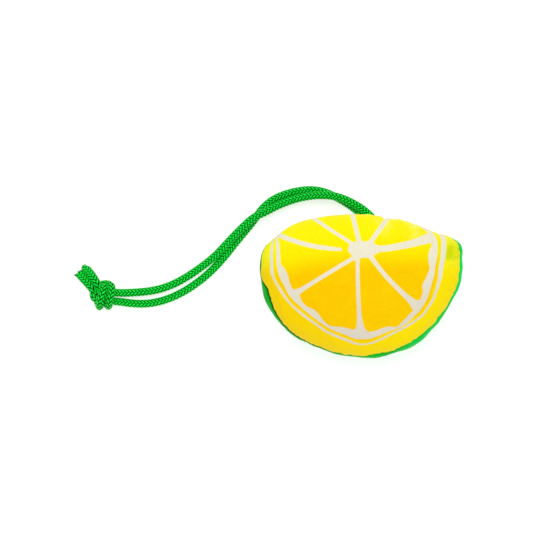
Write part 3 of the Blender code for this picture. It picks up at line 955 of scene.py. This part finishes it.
def pith_distance(nodes, x, y, radius, share, off_line):
    """How far outside the off-white hub, spokes, ring and thin line each point is."""
    past_ring = nodes.minus(radius, outline_curve(nodes, share, RING_OUTER_PIXELS))
    inside_ring = nodes.minus(outline_curve(nodes, share, RING_INNER_PIXELS), radius)
    ring = nodes.math("MAXIMUM", past_ring, inside_ring)
    widths = [(degrees / 360.0, half) for degrees, half in THIN_HALF_WIDTHS]
    half_width = round_curve(nodes, share, widths, THIN_SCALE_MM)
    thin = nodes.minus(nodes.math("ABSOLUTE", off_line), half_width)
    hub = nodes.math("SQRT", in_oval(nodes, x, y, from_hub(HUB_MIDDLE_PIXEL), HUB_HALF_SIZES_MM))
    pith = nodes.times(nodes.minus(hub, 1.0), HUB_HALF_SIZES_MM[1])
    for spoke in SPOKES:
        spoke_edge = spoke_distance(nodes, x, y, *spoke)
        pith = nodes.math("SMOOTH_MIN", pith, spoke_edge, SPOKE_BLEND_MM)
    pith = nodes.math("SMOOTH_MIN", pith, ring, RING_BLEND_MM)
    pith = nodes.math("MAXIMUM", pith, past_ring)
    return nodes.math("MINIMUM", pith, thin)


def yellow_cloth(nodes, layer, x, y, off_line):
    """The segments and rind with painted light, lighter at the top, painted highlights on the folds
    near the mouth, and green showing at the right.
    """
    # Painted light and shade: the segments run from a shaded deep yellow at the bottom through the
    # middle yellow to a lit lemon at the top, along arched lines
    arch = nodes.times(x, nodes.math("MINIMUM", x, 0.0))
    arched = nodes.math("MULTIPLY_ADD", arch, SEGMENT_ARCH, y)
    low = nodes.mix(nodes.ramp(x, *SEGMENT_ACROSS_MM), SEGMENT_SHADED_LOW_LEFT, SEGMENT_SHADED_LOW_RIGHT)
    segment = nodes.mix(nodes.ramp(arched, *SEGMENT_PAINTED_SHADE_RISE_MM), low, SEGMENT_MIDDLE)
    segment = nodes.mix(nodes.ramp(arched, *SEGMENT_PAINTED_LIGHT_TOP_MM), segment, SEGMENT_LIT_HIGH)
    rind = nodes.mix(nodes.ramp(x, *RIND_ACROSS_MM), RIND_LEFT, RIND_RIGHT)
    # Painted light: the rind turns to a lit lemon towards the top
    rind = nodes.mix(nodes.ramp(y, *RIND_PAINTED_LIGHT_RISE_MM), rind, RIND_LIT_HIGH)
    yellow = nodes.mix(nodes.ramp(off_line, *RIND_FADE_MM), segment, rind)
    # Painted highlights: pale streaks where the folds near the mouth catch the light
    near_mouth = in_oval(nodes, x, y, GLOSS_MIDDLE_MM, GLOSS_HALF_SIZES_MM)
    near_mouth = nodes.ramp(near_mouth, 0.1, 1.0, 1.0, 0.0)
    gloss_streaks = nodes.ramp(nodes.noise(layer, 11.0, 2.0), 0.42, 0.72)
    pale = nodes.times(nodes.times(near_mouth, gloss_streaks), GLOSS_MOST)
    yellow = nodes.mix(pale, yellow, PAINTED_GLOSS_YELLOW)
    through = nodes.times(nodes.ramp(x, *SHOWING_RIGHT_MM), nodes.ramp(y, *SHOWING_FOOT_MM))
    through = nodes.times(through, nodes.ramp(y, *SHOWING_TOP_MM, 1.0, 0.0))
    patchy = nodes.ramp(nodes.noise(layer, 22.0, 3.0), 0.35, 0.6, 0.45, 1.0)
    yellow = nodes.mix(nodes.times(through, patchy), yellow, SHOWING)
    mottle = nodes.ramp(nodes.noise(layer, 9.0, 3.0), 0.4, 0.75, 0.0, MOTTLE_MOST)
    return nodes.mix(mottle, yellow, MOTTLED_YELLOW)


def print_colour(nodes):
    """The slice print's colour with its painted light, from flat shapes, and the UV map it is drawn on.
    """
    layer = nodes.new("ShaderNodeUVMap", uv_map="print").outputs["UV"]
    right, above = nodes.split(layer)
    hub_x = (HUB_PIXEL[0] - PHOTO_MIDDLE_PIXEL) * PHOTO_MM_PER_PIXEL + CAMERA_FOOT_MM[0]
    hub_y = (PHOTO_MIDDLE_PIXEL - HUB_PIXEL[1]) * PHOTO_MM_PER_PIXEL + CAMERA_FOOT_MM[1]
    x = nodes.math("MULTIPLY_ADD", right, MM_PER_UV, -hub_x)
    y = nodes.math("MULTIPLY_ADD", above, MM_PER_UV, -hub_y)
    radius = nodes.math("SQRT", nodes.squares(x, y))
    turn = nodes.math("DIVIDE", nodes.math("ARCTAN2", y, x), math.tau)
    share = nodes.math("FRACT", nodes.plus(turn, 1.0))
    off_line = nodes.minus(radius, outline_curve(nodes, share, THIN_MIDDLE_PIXELS))
    pith = pith_distance(nodes, x, y, radius, share, off_line)
    pith_share = nodes.ramp(pith, -PRINT_EDGE_MM, PRINT_EDGE_MM, 1.0, 0.0)
    # Painted light: the pith is shaded darker at the bottom and lit lighter at the top
    pith_colour = nodes.mix(nodes.ramp(y, *PITH_PAINTED_LIGHT_RISE_MM), PITH_SHADED_LOW, PITH_LIT_HIGH)
    yellow = yellow_cloth(nodes, layer, x, y, off_line)
    return nodes.mix(pith_share, yellow, pith_colour), layer


# Cloth: the weave's pitch, and how deep its weave, slubs, rumples and creases are

CLOTH_ROUGHNESS = 0.5
CLOTH_SPECULAR = 0.07
WEAVE_MM = 0.42
WEAVE_DEPTH_M = 0.00003
SLUB_DEPTH_M = 0.00025
RUMPLE_DEPTH_M = 0.0012
CREASE_DEPTH_M = 0.0005
CREASE_HALF_WIDTH = 0.05


def cloth_finish(nodes, colour, layer, tint):
    """Thin woven polyester: fine weave, faint slubs and a soft gloss in the cloth's own colour."""
    nodes.feed(nodes.shader.inputs["Base Color"], colour)
    nodes.gloss(CLOTH_ROUGHNESS, CLOTH_SPECULAR, tint)
    warp, weft = (
        nodes.math("SINE", nodes.times(side, MM_PER_UV * math.tau / WEAVE_MM))
        for side in nodes.split(layer)
    )
    weave = nodes.times(warp, weft)
    off_fold = nodes.math("ABSOLUTE", nodes.minus(nodes.noise(layer, 6.0, 1.0), 0.5))
    creases = nodes.ramp(off_fold, 0.0, CREASE_HALF_WIDTH, 1.0, 0.0)
    bumps = nodes.bump(creases, CREASE_DEPTH_M, 0.4)
    bumps = nodes.bump(nodes.noise(layer, 14.0, 2.0), RUMPLE_DEPTH_M, 0.4, after=bumps)
    bumps = nodes.bump(weave, WEAVE_DEPTH_M, 0.35, after=bumps)
    bumps = nodes.bump(nodes.noise(layer, 60.0, 4.0), SLUB_DEPTH_M, 0.35, after=bumps)
    nodes.link(bumps, nodes.shader.inputs["Normal"])


def front_material():
    nodes = Nodes("printed_yellow_cloth")
    colour, layer = print_colour(nodes)
    cloth_finish(nodes, colour, layer, (1.0, 0.86, 0.08, 1.0))
    return nodes.material


GREEN_LIT = (srgb(2, 190, 36), srgb(8, 226, 84))
GREEN_SHADED = (srgb(0, 170, 20), srgb(2, 206, 62))
GREEN_SEAM_SHADE = srgb(0, 74, 6)
SEAM_SHADE_MM = (0.3, 1.5)
GREEN_PAINTED_LIGHT_M = (0.0, 0.05)
GREEN_TONE_SCALE = 60.0


def green_material():
    """Green cloth mixed at random from lit and shaded copies, with painted light towards the right and
    painted shade in the crevice of the seam.
    """
    nodes = Nodes("green_cloth")
    layer = nodes.new("ShaderNodeUVMap", uv_map="print").outputs["UV"]
    place = nodes.object_place()
    # Painted light: the green is lighter towards the right
    lit_towards_right = nodes.ramp(nodes.split(place)[0], *GREEN_PAINTED_LIGHT_M)
    lit = nodes.mix(lit_towards_right, *GREEN_LIT)
    shaded = nodes.mix(lit_towards_right, *GREEN_SHADED)
    tone = nodes.noise(place, GREEN_TONE_SCALE, 3.0)
    colour = nodes.mix(nodes.ramp(tone, 0.3, 0.7), shaded, lit)
    # Painted shade: the green darkens in the crevice along the seam
    from_seam = nodes.new("ShaderNodeAttribute", attribute_name="from_seam").outputs["Fac"]
    colour = nodes.mix(nodes.ramp(from_seam, *SEAM_SHADE_MM), GREEN_SEAM_SHADE, colour)
    cloth_finish(nodes, colour, layer, (0.1, 1.0, 0.3, 1.0))
    return nodes.material


# Mouth hem: its profile as places along the mouth's axis and distances from it

HEM_PROFILE_MM = [(1.4, 2.4), (2.0, 3.2), (3.4, 4.6), (5.0, 5.9), (6.4, 6.1), (7.0, 5.2), (6.5, 4.0)]
HEM_PROFILE_STEPS = 6
HEM_DIMPLE_MM = 5.4
HEM_SIDES = 264
HEM_FROM_SEAM_MM = 9.0
HEM_UNEVENNESS = 0.3
HEM_FOLD_POWER = 0.75
HEM_FINE_FOLDS = 0.25
HEM_FOLD_SHARE = 0.12
HEM_FOLDS_FROM_MM = 1.0
HEM_FOLDS_FULL_OVER_MM = 3.0
HEM_LEAN_MM = 0.35
HEM_LEANS = 5


def mouth_hem(material):
    """The drawn channel: a ruffle of deep soft folds round the mouth."""
    places = [(along, radius, 0.0) for along, radius in HEM_PROFILE_MM]
    profile = smooth_route(places, steps=HEM_PROFILE_STEPS)
    turn = np.arange(HEM_SIDES) * math.tau / HEM_SIDES
    wave = np.cos(GATHER_COUNT * turn + HEM_UNEVENNESS * np.sin(2 * turn))
    fine = HEM_FINE_FOLDS * np.cos(2 * GATHER_COUNT * turn + 0.9)
    folds = np.sign(wave) * np.abs(wave) ** HEM_FOLD_POWER + fine
    lean = HEM_LEAN_MM * np.cos(HEM_LEANS * turn + 1.0)
    outwards = np.cos(turn)[:, None] * MOUTH_ACROSS + np.sin(turn)[:, None] * MOUTH_UP
    root = HEM_PROFILE_MM[0][0]
    longest = max(along for along, _ in HEM_PROFILE_MM)
    rings = []
    for along, radius, _ in profile:
        depth = HEM_FOLD_SHARE * min(1.0, (along - HEM_FOLDS_FROM_MM) / HEM_FOLDS_FULL_OVER_MM)
        reach = radius * (1.0 + depth * folds)
        rise = along + lean * (along - root) / longest
        rings.append(MOUTH + rise[:, None] * MOUTH_AXIS + reach[:, None] * outwards)
    dimple = MOUTH + HEM_DIMPLE_MM * MOUTH_AXIS
    points, faces = capped_rings(MOUTH + root * MOUTH_AXIS, np.array(rings), dimple)
    obj = mesh_object("hem_ruffle", points, [tuple(reversed(face)) for face in faces])
    offset = points - MOUTH
    across = offset @ MOUTH_ACROSS
    add_print_layer(obj, np.stack([across, offset @ MOUTH_AXIS + offset @ MOUTH_UP], axis=1))
    # The hem lies far enough from the seam to get none of the painted seam shade
    add_point_values(obj, "from_seam", np.full(len(points), HEM_FROM_SEAM_MM))
    obj.data.materials.append(material)
    return obj


# Light and floor: each light's size in metres, its power in watts and its place

LIGHTS = [
    ("key", 0.9, 10.8, (-0.1, 0.6, 1.3)),
    ("fill", 1.4, 5.6, (0.2, -1.1, 0.9)),
]
WHITE = (1.0, 1.0, 1.0, 1.0)
WORLD_STRENGTH = 0.5
FLOOR_SIZE_M = 6.0
FLOOR_GREY = (0.45, 0.45, 0.45, 1.0)
FLOOR_GLOW = 0.7


def make_stage():
    scene = bpy.context.scene
    scene.view_settings.view_transform = "Standard"
    world = bpy.data.worlds.new("soft_white")
    world.use_nodes = True
    background = world.node_tree.nodes["Background"]
    set_inputs(background, {"Color": WHITE, "Strength": WORLD_STRENGTH})
    scene.world = world

    for name, size, energy, place in LIGHTS:
        light = bpy.data.lights.new(name, "AREA")
        light.shape = "DISK"
        light.size = size
        light.energy = energy
        light_object = bpy.data.objects.new(name, light)
        light_object.location = place
        light_object.rotation_euler = (-Vector(place)).to_track_quat("-Z", "Y").to_euler()
        scene.collection.objects.link(light_object)

    bpy.ops.mesh.primitive_plane_add(size=FLOOR_SIZE_M, location=(0.0, 0.0, 0.0))
    floor = bpy.context.object
    floor.name = "floor"
    nodes = Nodes("pale_floor")
    nodes.gloss(0.9, 0.1, WHITE)
    set_inputs(nodes.shader, {"Base Color": FLOOR_GREY})
    set_inputs(nodes.shader, {"Emission Color": WHITE, "Emission Strength": FLOOR_GLOW})
    floor.data.materials.append(nodes.material)


make_camera()

yarn = cord_material()
knot_spans = []
strands = []
tails = []
for letter, side, knot_route, tail in STRANDS:
    route = strand_route(side, knot_route, tail)
    into_knot = along_to(route, KNOT_CENTRE_MM + knot_route[0])
    out_of_knot = along_to(route, KNOT_CENTRE_MM + tail[0])
    strand = braid_object("braided_strand_" + letter, [braid_span(route, 0.0, into_knot)], yarn)
    strands.append((strand, route, into_knot))
    knot_spans.append(braid_span(route, into_knot, out_of_knot))
    tail_span = braid_span(route, out_of_knot, cut=TAIL_CUTS_MM[letter])
    tails.append(braid_object("braided_tail_" + letter, [tail_span], yarn))
    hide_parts("cord_strand_" + letter)
    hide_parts("cord_tail_" + letter)
knot = braid_object("braided_knot", knot_spans, yarn)
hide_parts("cord_knot")
for piece in (knot, *tails, *(strand for strand, _, _ in strands)):
    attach(piece, BODY)

front = cloth_half("yellow_front", FRONT_GRID, True)
front.data.materials.append(front_material())
back = cloth_half("green_back", BACK_GRID, False)
green = green_material()
back.data.materials.append(green)
hem = mouth_hem(green)
for piece, node, slot_name, fill in (
    (front, "front_panel", "yellow_print_cloth", 0.8),
    (back, "back_panel", "green_cloth", 0.8),
    (hem, "mouth_hem", "green_cloth", 0.3),
):
    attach(piece, BODY)
    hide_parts(node)

make_stage()
